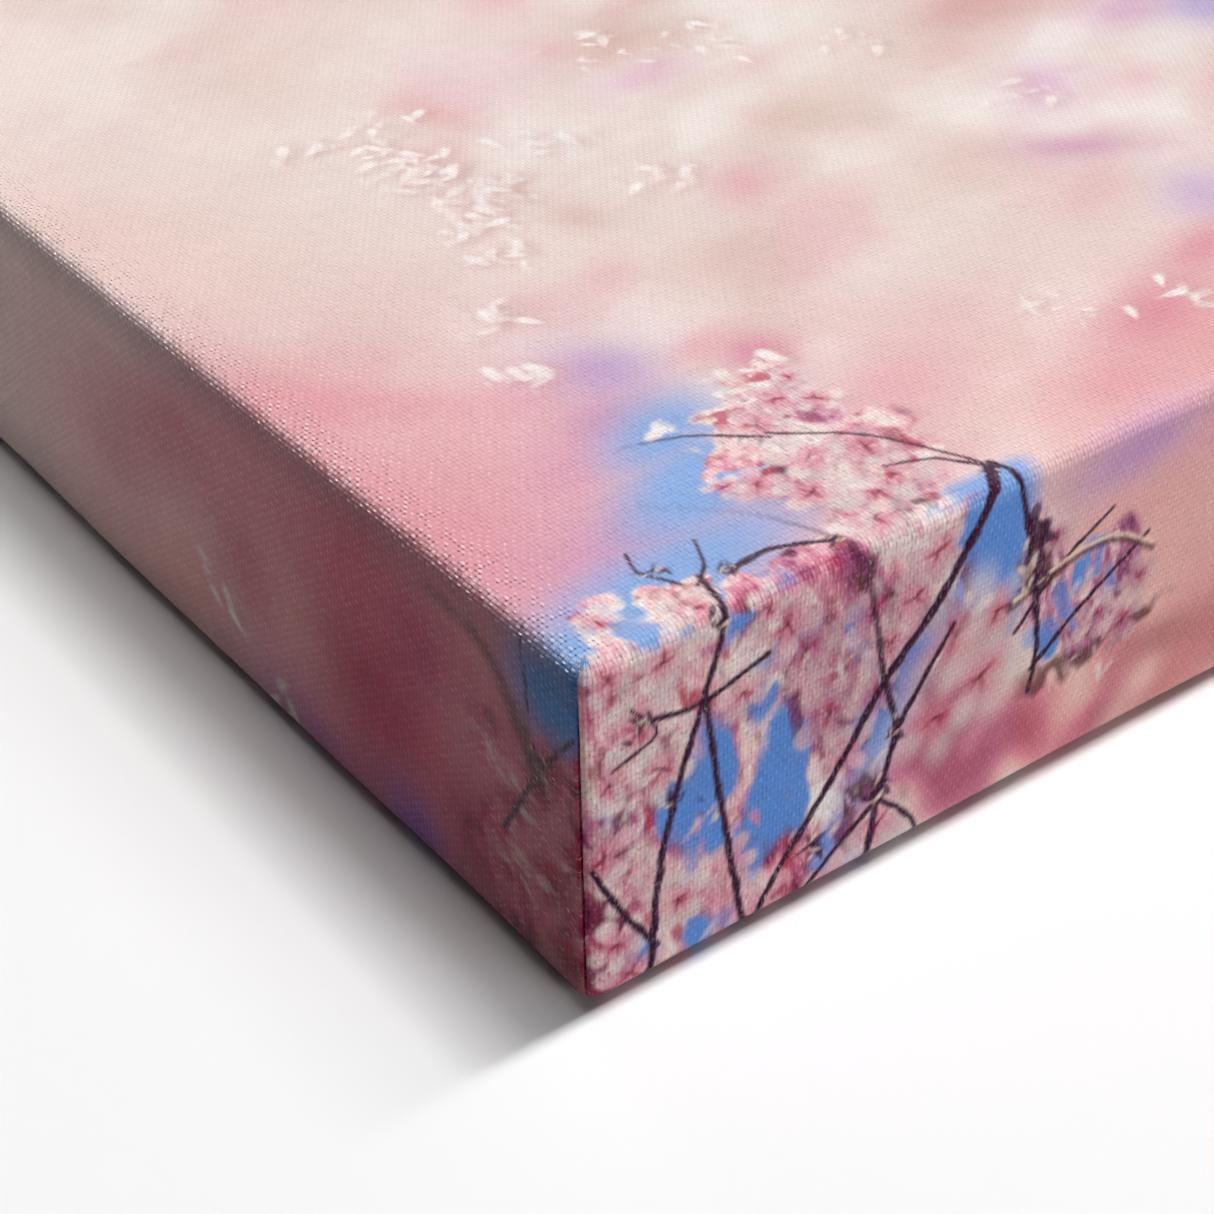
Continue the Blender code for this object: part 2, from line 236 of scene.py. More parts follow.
# Patches out of focus: a, b, radius a, radius b, colour, strength, turn. First the face.
PATCHES = (
    (8, 125, 40, 70, (240, 223, 217), 0.75, 0.0), (16, 84, 20, 26, (234, 212, 202), 0.7, 0.1),
    (45, 135, 18, 12, (233, 206, 196), 0.6, 0.6), (62, 152, 18, 12, (234, 202, 196), 0.6, 0.6),
    (66, 120, 8, 14, (243, 222, 222), 0.6, 0.4), (84, 134, 9, 6, (238, 188, 194), 0.8, 0.2),
    (55, 108, 4, 8, (232, 176, 176), 0.85, 0.2), (50, 97, 5, 6, (236, 196, 192), 0.7, 0.2),
    (78, 112, 9, 8, (234, 196, 200), 0.6, 0.3), (90, 112, 13, 10, (214, 176, 162), 0.7, 0.3),
    (84, 101, 9, 4, (230, 182, 204), 0.75, 0.2), (112, 104, 14, 7, (242, 232, 226), 0.85, 0.3),
    (100, 96, 8, 4, (232, 192, 190), 0.6, 0.1), (134, 91, 14, 9, (218, 162, 160), 0.75, 0.2),
    (120, 82, 7, 5, (230, 190, 186), 0.7, 0.2), (150, 78, 9, 6, (218, 164, 200), 0.75, 0.2),
    (159, 72, 8, 6, (168, 158, 228), 0.7, 0.5), (110, 88, 14, 6, (236, 216, 206), 0.7, 0.3),
    (91, 78, 11, 8, (220, 186, 170), 0.65, 0.3), (98, 72, 6, 5, (226, 196, 186), 0.7, 0.3),
    (73, 67, 8, 5, (232, 170, 178), 0.85, 0.7), (82, 60, 9, 4, (238, 204, 200), 0.6, 0.2),
    (122, 66, 9, 5, (228, 182, 212), 0.8, 0.8), (144, 66, 10, 4, (246, 236, 232), 0.8, 0.5),
    (133, 60, 7, 4, (236, 188, 194), 0.7, 0.5), (100, 56, 8, 11, (228, 194, 186), 0.6, 0.3),
    (112, 50, 9, 4, (208, 146, 180), 0.75, -0.5), (114, 31, 8, 6, (196, 160, 216), 0.65, 0.8),
    (104, 40, 10, 5, (232, 184, 184), 0.7, 0.4), (86, 50, 12, 9, (232, 204, 194), 0.6, 0.2),
    (58, 52, 11, 9, (224, 186, 178), 0.65, 0.5), (72, 42, 13, 4, (242, 226, 220), 0.85, 0.2),
    (60, 36, 7, 4, (240, 206, 204), 0.7, 0.2), (48, 66, 16, 12, (240, 222, 214), 0.75, 0.2),
    (46, 58, 6, 4, (234, 180, 186), 0.6, 0.8), (52, 72, 4, 5, (222, 184, 176), 0.6, 0.3),
    (36, 56, 6, 7, (232, 186, 192), 0.6, 0.5), (10, 50, 17, 4.5, (228, 160, 170), 0.7, -0.75),
    (2, 60, 6, 9, (232, 180, 182), 0.6, 0.1), (24, 42, 9, 5, (232, 172, 186), 0.75, 0.2),
    (11, 33, 15, 12, (242, 202, 206), 0.8, 0.3), (3, 20, 9, 14, (232, 184, 198), 0.8, 0.2),
    (19, 27, 9, 6, (226, 176, 204), 0.8, 0.4), (27, 33, 8, 5, (206, 160, 196), 0.9, 0.3),
    (33, 41, 6.5, 7.5, (184, 160, 216), 0.85, 0.4), (15, 14, 14, 7, (196, 162, 216), 0.85, 0.3),
    (48, 34, 5, 5, (222, 126, 160), 0.8, 0.5), (44, 39, 6, 3, (236, 178, 184), 0.8, 0.5),
    (55, 20, 13, 8, (236, 172, 184), 0.85, 0.3), (68, 28, 12, 6, (236, 198, 198), 0.7, 0.3),
    (87, 14, 13, 6.5, (218, 122, 150), 0.9, 0.25), (104, 22, 9, 4, (224, 132, 156), 0.8, 0.3),
    (74, 6, 11, 6, (228, 158, 176), 0.9, 0.1), (92, 5, 12, 6, (228, 148, 160), 0.85, 0.2),
    # the long side face, a below zero
    (-24, 150, 34, 50, (240, 208, 200), 0.9, 0.0), (-20, 104, 30, 26, (236, 186, 180), 0.85, 0.0),
    (-20, 30, 44, 46, (228, 130, 144), 0.95, 0.0), (-12, 78, 10, 24, (216, 116, 132), 0.85, 0.35),
    (-33, 78, 8, 20, (232, 160, 158), 0.8, 0.2), (-21, 62, 9, 9, (208, 112, 128), 0.8, 0.2),
    (-26, 50, 9, 8, (240, 176, 176), 0.8, 0.0), (-9, 58, 7, 12, (238, 152, 162), 0.75, 0.0),
    (-22, 92, 7, 9, (214, 132, 144), 0.6, 0.3), (-39, 52, 8, 14, (198, 118, 176), 0.8, 0.0),
    (-24, 36, 11, 12, (182, 62, 92), 0.9, 0.3), (-8, 38, 7, 9, (222, 112, 132), 0.8, 0.3),
    (-13, 26, 7, 6, (188, 72, 112), 0.8, 0.2), (-38, 30, 6, 6, (150, 104, 196), 0.8, 0.3),
    (-20, 20, 8, 5, (230, 158, 168), 0.7, 0.3), (-32, 18, 8, 6, (170, 58, 100), 0.8, 0.3),
    (-28, 7, 14, 9, (156, 42, 80), 0.9, 0.0), (-14, 5, 8, 8, (206, 112, 136), 0.7, 0.0),
    # the short side face, b below zero
    (70, -22, 22, 40, (246, 178, 174), 0.95, 0.0), (100, -22, 22, 36, (240, 162, 164), 0.95, 0.0),
    (72, -22, 7, 7, (254, 208, 194), 0.8, -0.2), (63, -33, 9, 5, (236, 150, 158), 0.8, 0.4),
    (70, -3, 11, 4, (206, 158, 208), 0.9, 0.1), (88, -5, 10, 4, (240, 170, 186), 0.8, 0.1),
    (84, -14, 8, 6, (250, 196, 186), 0.6, 0.0), (90, -32, 14, 6, (208, 124, 126), 0.8, 0.2),
    (108, -14, 11, 9, (250, 200, 190), 0.7, 0.0), (126, -24, 16, 12, (236, 154, 166), 0.8, 0.0),
    (54, -38, 8, 5, (196, 104, 128), 0.7, 0.3), (66, -38, 6, 3, (180, 100, 150), 0.85, 0.3),
    (64, -33.5, 7, 4, (128, 52, 64), 0.75, 0.2), (77, -30, 8, 3, (164, 88, 92), 0.6, -0.1),
    (70.5, -38, 4, 2.6, (254, 226, 214), 0.8, 0.3), (79, -37, 5, 4, (220, 130, 132), 0.6, 0.3),
    (75, -34.5, 3, 2.4, (254, 214, 204), 0.8, 0.3),
)


def paint_haze(color, a, b, rng):
    """Soft light and colour over the whole picture, largest first."""
    warm = (linear(238, 224, 218), linear(230, 206, 196), linear(238, 198, 200), linear(216, 186, 168),
            linear(242, 224, 226), linear(231, 170, 178), linear(222, 190, 208), linear(240, 190, 196))
    u, v = a * 0.82 + b * 0.57, b * 0.82 - a * 0.57
    field = layered(u / 30.0, v / 19.0, 111, 3, 0.55)
    wash(color, 0.75 * smooth((field - 0.52) / 0.3), linear(239, 190, 196))
    field = layered(u / 26.0 + 4, v / 15.0 - 7, 121, 3, 0.55)
    wash(color, 0.8 * smooth((field - 0.50) / 0.3), linear(250, 240, 236))
    field = layered(u / 21.0 - 8, v / 14.0 + 3, 131, 2)
    wash(color, 0.34 * smooth((field - 0.55) / 0.4), linear(214, 176, 164))
    for size, count, strength in ((26, 120, 0.35), (12, 420, 0.40)):
        for _ in range(count):
            ca, cb = rng.uniform(-70, 478), rng.uniform(-70, 580)
            paint = warm[rng.integers(len(warm))]
            turn, stretch = rng.normal(0.7, 0.5), rng.uniform(0.5, 1.0)
            # The near left corner of the face has its own arrangement.
            hold = 1.0 if ca > 175 or cb > 190 else 0.25
            glow(color, a, b, ca, cb, size, size * stretch, paint, strength * hold, turn)
    for _ in range(60):  # strong pinks and scraps of sky, further off
        ca, cb = rng.uniform(160, 478), rng.uniform(-70, 580)
        paint = (ROSE, MAUVE, linear(126, 164, 226), linear(205, 178, 226), ROSE)[rng.integers(5)]
        glow(color, a, b, ca, cb, rng.uniform(6, 22), rng.uniform(4, 11), paint, 0.6,
             rng.uniform(0, 3))
    for ca, cb, ra, rb, rgb, strength, turn in PATCHES:
        glow(color, a, b, ca, cb, ra, rb, linear(*rgb), strength, turn)


def sky_color(a, b):
    """The sky between the blossoms: pale on the top, a darker blue on each side face, changing at the folds.
    """
    top, short_side, long_side = linear(138, 174, 230), linear(98, 150, 228), linear(104, 146, 206)
    down_b = smooth((1.0 - b) / 4.0)[:, None]
    down_a = smooth((1.0 - a) / 3.0)[:, None]
    sky = top + (short_side - top) * down_b
    return sky + (long_side - sky) * down_a * (1 - down_b)


# Where the sky shows through on the short side: a, b, half sizes, turn.
GAPS = (
    (50, -5, 4.4, 7.4, -0.2), (51.5, -0.5, 4.0, 3.4, 0.1), (13, -20, 3.8, 9.0, -0.12),
    (9.5, -21, 2.4, 5.4, -0.15), (22, -6.5, 3.6, 1.7, 0.25), (17, -2.0, 3.6, 1.4, 0.2),
    (23, -22, 3.2, 7.8, -0.12), (19.5, -29, 1.8, 4.6, 0.2), (13, -36.5, 3.0, 2.2, 0.0),
    (35, -21, 2.4, 3.6, -0.3), (38.5, -15.5, 2.0, 4.4, -0.45), (40, -23.0, 1.8, 3.0, 0.0),
    (27.5, -34, 2.4, 3.4, -0.4), (4.5, -35.5, 2.2, 3.0, 0.0), (33, -11, 1.4, 3.6, -0.2),
    (2.5, -15.5, 1.0, 3.2, 0.0), (8.0, -6.5, 1.8, 1.1, 0.3), (20, -12.5, 1.6, 3.6, 0.1),
    (28, -46, 6.0, 5.0, 0.0),
)


class NearCorner:
    """The points round the near left corner, with the fields of noise that shape its blossom."""

    def __init__(self, color, a, b, detail):
        self.index = np.nonzero((a > -44) & (a < 84) & (b > -75) & (b < 42))[0]
        self.color, self.detail = color, detail
        self.x, self.y = a[self.index], b[self.index]
        # Strokes run down the short side face.
        self.v = np.where(self.y < 0, self.y * 0.5, self.y)
        self.u = self.x + 0.22 * np.minimum(self.y, 0)
        self.warp_a = (self.field(5.0, 4.0, 11) - 0.5) * 5.0 + (self.field(1.6, 1.5, 12) - 0.5) * 1.2
        self.warp_b = (self.field(5.0, 4.0, 21) - 0.5) * 5.0 + (self.field(1.6, 1.5, 22) - 0.5) * 1.3
        self.sky = sky_color(self.x, self.y)
        self.big = self.field(4.4, 3.6, 31, 4, 5.0)
        self.stroke = self.field(0.75, 1.5, 51)
        self.form = self.field(8.0, 7.0, 141) - 0.5

    def field(self, cell_u, cell_v, seed, octaves=2, shift=0.0):
        return layered(self.u / cell_u + shift, self.v / cell_v, seed, octaves)

    def spots(self, cell_u, cell_v, seed, octaves, shift, level, span):
        """Spots where a field of noise is high."""
        return smooth((self.field(cell_u, cell_v, seed, octaves, shift) - level) / span)

    def cover(self, places, soft, ragged=True):
        """How far each point lies inside any of the places, which have torn edges when ragged."""
        mask = np.zeros(len(self.index))
        for ca, cb, ra, rb, turn in places:
            c, s = math.cos(turn), math.sin(turn)
            x = self.x - ca + ragged * self.warp_a
            y = self.y - cb + ragged * self.warp_b
            u, v = (x * c + y * s) / ra, (y * c - x * s) / rb
            mask = np.maximum(mask, smooth((1.0 - np.hypot(u, v)) * min(ra, rb) / soft + 0.5))
        return mask

    def lay(self, mask, paint):
        blend_in(self.color, self.index, mask, paint)


def paint_open_sky(corner):
    """The whole stretch of sky, with the blossom to come over it."""
    x, y = corner.x, corner.y
    mask = corner.cover(((30, 27, 8, 5.0, 0.5), (27, 18, 12, 6.0, 0.55), (14, 6, 18, 5.5, 0.2),
                         (3, 1, 9, 6.5, 0.0), (-5, 4, 5.5, 6.5, 0.0)), 8.0, ragged=False)
    down_side = smooth((3.5 - y) / 2.5) * smooth((57 - x) / 4.0) * smooth((x + 4.5) / 3.0)
    corner.lay(np.maximum(mask, down_side), corner.sky)


def petal_tones(corner):
    """The colours of the blossom in focus."""
    big, form, stroke = corner.big, corner.form, corner.stroke
    # Petals are deeper in colour where they thin out.
    rim = corner.cover(GAPS, 4.5) * smooth(0.5 - corner.y / 3.0)
    t = np.clip(0.12 + 0.86 * big + 0.34 * (stroke - 0.5) - 0.30 * rim + 0.45 * form, 0, 1)
    tones = ramp(t, (0.04, (128, 40, 76)), (0.20, (198, 96, 130)), (0.36, (238, 158, 176)),
                 (0.52, (250, 204, 208)), (0.66, (255, 226, 218)), (0.80, (255, 240, 236)),
                 (1.0, (255, 250, 246)))
    mauve = ramp(t, (0.08, (110, 40, 76)), (0.25, (160, 74, 120)), (0.45, (206, 120, 160)),
                 (0.62, (232, 166, 190)), (0.8, PALE), (1.0, WHITE_PINK))
    tint = layered(corner.u / 6.5 - 3.0, corner.v / 5.0, 41, 3)
    wash(tones, smooth((tint - 0.58) / 0.2), mauve)
    earthy = corner.spots(3.0, 2.6, 61, 3, 9, 0.60, 0.25) * 0.35
    wash(tones, earthy * smooth((0.72 - t) / 0.4), TAN)
    wash(tones, corner.spots(2.4, 2.0, 71, 2, -6, 0.70, 0.24) * 0.85, CRIMSON)
    dark = corner.spots(1.5, 1.6, 81, 2, 4, 0.76, 0.2) * 0.6
    wash(tones, 0.7 * dark, linear(120, 44, 60))
    # Painted shade: on the long side face the petals take this darker copy of their tones.
    long_side_shaded_tones = ramp(t, (0.1, (84, 26, 48)), (0.35, (160, 58, 92)), (0.55, (206, 104, 130)),
                (0.85, (240, 176, 186)))
    return np.where((corner.x < -1)[:, None], long_side_shaded_tones, tones)


def paint_near_spray(corner):
    """The blossom in focus, with gaps of sky."""
    x, y = corner.x, corner.y
    spray = corner.cover((
        (39, 22, 8.5, 6.5, 0.4), (44, 30, 5.5, 3.2, 0.5), (45, 14, 7.5, 6, 0.2), (37, 12, 6, 5.5, 0.2),
        (31, 17.5, 2.6, 1.8, 0.3), (30, 27, 2.2, 1.3, 0.1), (40, 4, 8, 4.5, 0.1), (29, 1, 5, 2.8, 0.3),
        (37, 0, 8, 3.0, 0.0), (20, 0, 4, 1.8, 0.0),
        (6.5, 5.4, 2.2, 1.5, 0.3), (13, 3.4, 4.6, 2.6, 0.2), (3, 0.4, 2.6, 2.4, 0.0),
    ), 1.1)
    # On the short side face everything is blossom but for the gaps left open.
    side = smooth((0.6 - y - 0.35 * corner.warp_b) / 2.2) * smooth((x + 1.6) / 1.5)
    spray = np.maximum(spray, side * (1 - corner.cover(GAPS, 1.7)))
    long_side = corner.cover(((-22, 10, 9, 5, 0.4), (-14, 3.5, 4, 4, 0.2), (-32, 12, 7, 6, 0.2),
                              (-26, 2, 11, 5, 0.1)), 2.0) * 0.9
    spray = np.maximum(spray, long_side * (x < -1))
    focus = smooth((61 - x) / 13.0 + 0.1) * smooth((45 - x + 1.1 * np.maximum(y + 12, -8)) / 8.0)
    focus = np.where(y > 0, smooth((56 - x) / 8.0), focus)
    corner.lay(spray * focus, petal_tones(corner))
    corner.detail[corner.index] = spray * focus


def paint_far_strokes(corner):
    """Further back, out of focus: broad strokes of pink, cream and mauve."""
    x, y = corner.x, corner.y
    t = layered(x / 9.0 + y / 30.0, y / 8.5 - x / 26.0 + 2, 91, 2, 0.4)
    tones = ramp(t, (0.10, (196, 96, 114)), (0.3, (230, 138, 154)), (0.46, (250, 186, 184)),
                 (0.62, CREAM), (0.8, WHITE_PINK), (1.0, (226, 186, 220)))
    zone = smooth((x - 38 - 0.5 * (y + 14)) / 9.0) * smooth((78 - x) / 14.0) * smooth((-11 - y) / 6.0)
    corner.lay(0.92 * zone, tones)
    corner.detail[corner.index] *= 1 - zone
    rosy = ramp(np.clip(corner.big + 0.5 * corner.form, 0, 1), (0.1, (206, 110, 138)),
                (0.4, (240, 172, 184)), (0.7, PALE), (1.0, WHITE_PINK))
    corner.lay(0.9 * corner.cover(((51, -17, 3.6, 5.0, -0.1),), 2.5), rosy)


def paint_second_spray(corner):
    """Sky, mauve blossom and dark calyces."""
    gaps = corner.cover(((54.0, -13, 1.7, 4.6, -0.1), (60.0, -17, 2.8, 3.8, 0.5),
                         (57.5, -22.5, 1.8, 3.4, 0.0), (65, -14.5, 1.7, 2.0, 0.6),
                         (61.5, -20.5, 1.4, 2.2, 0.3), (68, -19, 0.9, 1.8, 0.2)), 1.2)
    corner.lay(gaps, corner.sky)
    bloom = corner.cover(((65, -21.5, 6.5, 5.0, 0.4), (70, -16, 3.8, 5.4, 0.2),
                          (58, -9.5, 3.2, 2.6, 0.4), (59, -17, 4.0, 5.5, 0.1)), 1.6)
    bloom = bloom * (1 - 0.7 * gaps)
    t = np.clip(0.9 * corner.big + 0.4 * (corner.stroke - 0.5), 0, 1)
    corner.lay(bloom, ramp(t, (0.05, (92, 30, 60)), (0.3, (156, 74, 122)),
                           (0.5, (206, 128, 164)), (0.7, PALE), (1.0, CREAM)))
    detail, index = corner.detail, corner.index
    detail[index] = np.maximum(detail[index] * (1 - gaps), bloom)
    calyces = corner.cover(((63, -26.5, 8.0, 1.5, 0.25), (74, -25, 4.0, 1.0, 0.5),
                            (56.5, -11, 1.6, 2.4, 0.0)), 1.2)
    calyces = calyces * smooth(corner.big * 3 - 0.4)
    corner.lay(0.85 * calyces, linear(92, 34, 44))


def paint_folds(corner):
    """Deep folds between the hanging flowers, and the shaded crook of the main branch."""
    fold = corner.cover(((28, -14, 4.5, 8, 0.0), (24, -8, 3, 5, 0.1), (6, -11, 4, 3, 0.2),
                         (33, -17, 3, 5, -0.2), (33, -33, 6, 4, 0.3), (3, -24, 2.5, 5, 0.0),
                         (45, -8, 3, 5, -0.3)), 3.0)
    fold = fold * corner.spots(1.3, 2.1, 151, 2, 2, 0.52, 0.2)
    corner.lay(0.75 * fold, linear(118, 30, 74))
    crook = corner.cover(((40.5, 2.5, 3.6, 1.6, -0.5), (34, -4, 1.6, 4.6, -0.15),
                          (31.5, -30.5, 3.0, 1.7, 0.5)), 1.0)
    crook = crook * smooth(corner.stroke * 2.4 - 0.5)
    corner.lay(0.85 * crook, BROWN * 0.55)


# Single flowers: tip, foot, strength, then a, b, size of each.
FLOWERS = (
    (PALE, MAUVE, 0.8, (
        (25.7, -8.6, 4.4), (30, -12.9, 4.8), (28.6, -17.5, 4.2), (32.9, -8.6, 3.8), (66, -22, 3.0),
        (70.5, -24.5, 3.2), (73, -20, 2.8), (59, -9, 2.2), (35, -18, 3.4),
    )),
    (PALE, ROSE, 0.9, (
        (23.6, -4.3, 3.8), (18, -10.4, 3.0), (17.5, -30.5, 3.0), (36.5, -13, 3.8), (38.6, -8.6, 4.0),
        (42.9, -4.3, 3.6), (44.3, 12.9, 3.6), (31.4, 14.3, 3.0), (38.6, 22, 3.6), (42.1, 25.7, 3.0),
        (1.4, -21.4, 3.8), (4.3, -38, 3.8), (31, -23.5, 3.4), (36, -36, 4.0), (21, -38, 3.6),
        (30, -40, 3.6),
    )),
    (WHITE_PINK, ROSE, 0.95, (
        (5.7, -8.6, 4.2), (2.9, -1.4, 3.0), (9.3, -14.3, 3.6), (2.9, -14.3, 3.4), (4.3, -26.5, 4.0),
        (9.3, -31.4, 3.6), (2.9, -33, 3.4), (5.4, 5.0, 2.2), (13.6, 1.4, 3.2), (35.7, 2.9, 3.8),
        (39.3, 5.7, 3.6), (34.3, 10, 3.6), (42.9, 7.1, 3.8), (38.6, 14.5, 3.8), (28.6, 15.7, 2.2),
        (45.8, 22.9, 2.8), (46.4, 28.6, 2.0), (20.5, -1.5, 2.6), (8.6, -2.5, 3.2),
    )),
    (linear(226, 150, 160), linear(150, 40, 70), 0.85, (
        (-31.4, 11.4, 4.6), (-21.4, 10, 4.6), (-27, 6, 5.0), (-17, 5.7, 4.2), (-13, 4.5, 3.2),
        (-35.7, 2.9, 4.4), (-22, 1.5, 4.2),
    )),
)


def paint_flowers(color, a, b, rng, detail):
    """Single flowers over the sprays, the furthest first."""
    for ca, cb, size in ((45.5, -15.5, 6.5), (49.5, -22.5, 6.0), (43.5, -25, 5.0), (51, -15, 4.2)):
        blossom(color, a, b, rng, ca, cb, size, WHITE_PINK, linear(228, 130, 150), 0.7, 3.4)
    for tip, foot, strength, places in FLOWERS:
        for ca, cb, size in places:
            blossom(color, a, b, rng, *beside(rng, ca, cb, 0.4), size, tip, foot, strength)
            i = near(a, b, ca, cb, size)
            inside = smooth(1.6 - np.hypot(a[i] - ca, b[i] - cb) / (0.6 * size))
            detail[i] = np.maximum(detail[i], 0.7 * inside)


def paint_marks(color, a, b, rng):
    """Small pale flecks, stamens and bud scales."""
    shade = linear(214, 170, 166)
    for ca, cb, radius, count in (
        (42, 106, 9, 40), (44, 94, 6, 46), (47, 84, 6, 60), (42, 78, 5, 24), (40, 69, 3, 16),
        (30, 57, 4, 16), (60, 92, 7, 14), (98, 106, 9, 14), (24, 44, 4, 12), (84, 112, 10, 16),
        (66, 76, 6, 10), (78, 20, 6, 10), (113, 92, 5, 10), (118, 66, 5, 8), (92, 14, 5, 8),
        (44, 33, 5, 10), (-30, 70, 6, 8), (-36, 55, 4, 6),
    ):
        for _ in range(count):
            pa, pb = beside(rng, ca, cb, 0.5 * radius)
            length, turn = rng.uniform(0.3, 1.0) ** 1.5 * 2.0, rng.normal(1.0, 0.9)
            petal(color, a, b, pa + 0.7, pb - 0.8, length * 1.6, length * 1.1, turn, shade, shade, 2.2, 0.22)
            petal(color, a, b, pa, pb, length, length * 0.5, turn, WHITE_PINK, linear(255, 248, 244),
                  0.7, rng.uniform(0.5, 1.0))
    tips = ((WHITE_PINK, 1.0), (CREAM, 0.9), (PALE, 0.9), (ROSE, 0.8), (CRIMSON, 0.6), (PLUM, 0.6))
    for ca, cb, radius, count, size in (
        (38, 20, 6, 34, 1.0), (42, 10, 6, 26, 1.0), (36, 3, 6, 22, 1.2), (13, 3, 3, 10, 0.9),
        (4, -5, 3, 16, 1.1), (5, -16, 4, 20, 1.2), (22, -9, 7, 28, 1.3), (34, -14, 5, 22, 1.3),
        (15, -24, 5, 18, 1.2), (4, -27, 4, 18, 1.2), (30, -30, 6, 34, 1.1), (17, -37, 5, 14, 1.2),
        (44, -12, 5, 12, 1.4), (64, -20, 6, 26, 1.1), (69, -26, 6, 16, 1.0), (-18, 9, 6, 18, 1.2),
        (-31, 12, 6, 14, 1.3),
    ):
        for _ in range(count):
            pa, pb = beside(rng, ca, cb, 0.55 * radius)
            tone, strength = tips[rng.integers(len(tips))]
            length = size * rng.uniform(0.5, 1.3) * (1.0 if tone[1] > 0.3 else 0.6)
            turn = rng.normal(1.2, 0.6)
            petal(color, a, b, pa, pb, length, length * rng.uniform(0.25, 0.6), turn, tone * 0.8, tone,
                  0.7, strength * rng.uniform(0.4, 0.9))


# The twigs: points, thickness at the foot and at the tip, and how far the foot fades, where it does.
TWIGS = (
    (((51.5, 3), (47, -4), (42, -11), (36, -17), (29, -27), (22, -36), (18, -44)), 1.26, 0.70),
    (((20, 18), (27, 11), (31, 3), (34, -7), (36, -17), (38, -24), (36, -32), (34, -46)), 0.51, 1.01, 0.9),
    (((52, 3), (54, -5), (56, -12), (57, -18)), 0.58, 1.07),
    (((17, 5), (15.5, -2), (13, -10), (10, -19), (8, -28), (7, -40)), 0.64, 0.95),
    (((13.5, -8), (15, -18), (17, -30), (20, -46)), 0.70, 0.89),
    (((6, -8), (13, -9), (21, -7)), 0.58, 0.64),
    (((31, 2), (25, 4.5), (19.5, 4)), 0.58, 0.82),
    (((22, 28), (31, 25.5), (38, 20)), 0.33, 0.45, 0.9),
    (((38, 21), (46, 14), (52, 2)), 0.39, 0.39),
    (((43, 9), (48, 7), (51.5, 2)), 0.33, 0.51),
    (((0.5, -23), (4, -30), (8, -36)), 0.64, 0.76),
    (((54, -19), (60, -13), (67, -9)), 0.64, 0.45),
    (((57, -25), (63, -20.5), (73, -14.5)), 0.76, 0.45),
    (((57, -18), (57.5, -23), (57, -28)), 0.76, 0.64),
    (((36, -32), (29, -37), (23, -43)), 0.76, 0.51),
    (((36, -32), (41, -37), (43, -44)), 0.64, 0.51),
    (((38, -24), (42, -18), (45, -14)), 0.89, 0.58),
    (((16, 4), (18.5, 6), (20.5, 10)), 0.39, 0.33),
    (((15, 5), (13, 9), (14, 12)), 0.45, 0.33),
    (((0.2, 9), (-7, 8), (-14, 8)), 0.33, 0.45),
    (((-8, 1), (-14, 6), (-19, 9), (-26, 13)), 0.45, 0.70),
    (((3, -12), (8, -10), (5, -6)), 0.39, 0.33),
)


def paint_twigs(color, a, b, rng):
    """The twigs in focus, three softer ones, and the buds at their joints."""
    for shape in TWIGS:
        twig(color, a, b, rng, *shape)
    twig(color, a, b, rng, ((-16, 7), (-12, 9.5), (-8, 12), (-5, 16), (-4, 24)), 2.6, 0.5, soft=2.4,
         paint=linear(96, 66, 56), lit=0.3, strength=0.8)
    twig(color, a, b, rng, ((53, -15.4), (59, -13.8), (64, -12.9), (69, -13.8), (74, -17)), 1.2, 0.6,
         soft=0.8, paint=linear(96, 44, 52), lit=0.0, strength=0.8)
    twig(color, a, b, rng, ((53.4, -15.0), (59, -13.3), (64, -12.4), (69, -13.2), (74, -16.3)), 0.55, 0.35,
         soft=0.5, paint=linear(250, 222, 200), lit=-0.2, strength=0.9)
    for ca, cb, size in (
        (55.6, -8.5, 3.0), (55.9, -10.5, 3.2), (56.2, -12.5, 2.6), (36, -32, 2.4), (15.5, -1, 1.3),
        (6, -8, 1.5), (31, 2, 1.2), (10, -19, 1.2), (-13, 7, 1.4), (51, 2, 1.1), (15, 8, 1.2),
        (20, 4, 1.1), (38, -24, 1.5), (28, -34, 2.0),
    ):
        for _ in range(5):  # buds and scales round a joint
            pa, pb = beside(rng, ca, cb, 0.4 * size)
            petal(color, a, b, pa, pb, size * rng.uniform(0.4, 0.85), size * rng.uniform(0.15, 0.35),
                  rng.uniform(0, 3.1), PLUM, PLUM * 1.7, 0.4, 0.85)
        for _ in range(3):
            pa, pb = beside(rng, ca, cb, 0.5 * size)
            petal(color, a, b, pa, pb, size * 0.4, size * 0.14, rng.uniform(0, 3.1), TAN, CREAM, 0.35, 0.8)


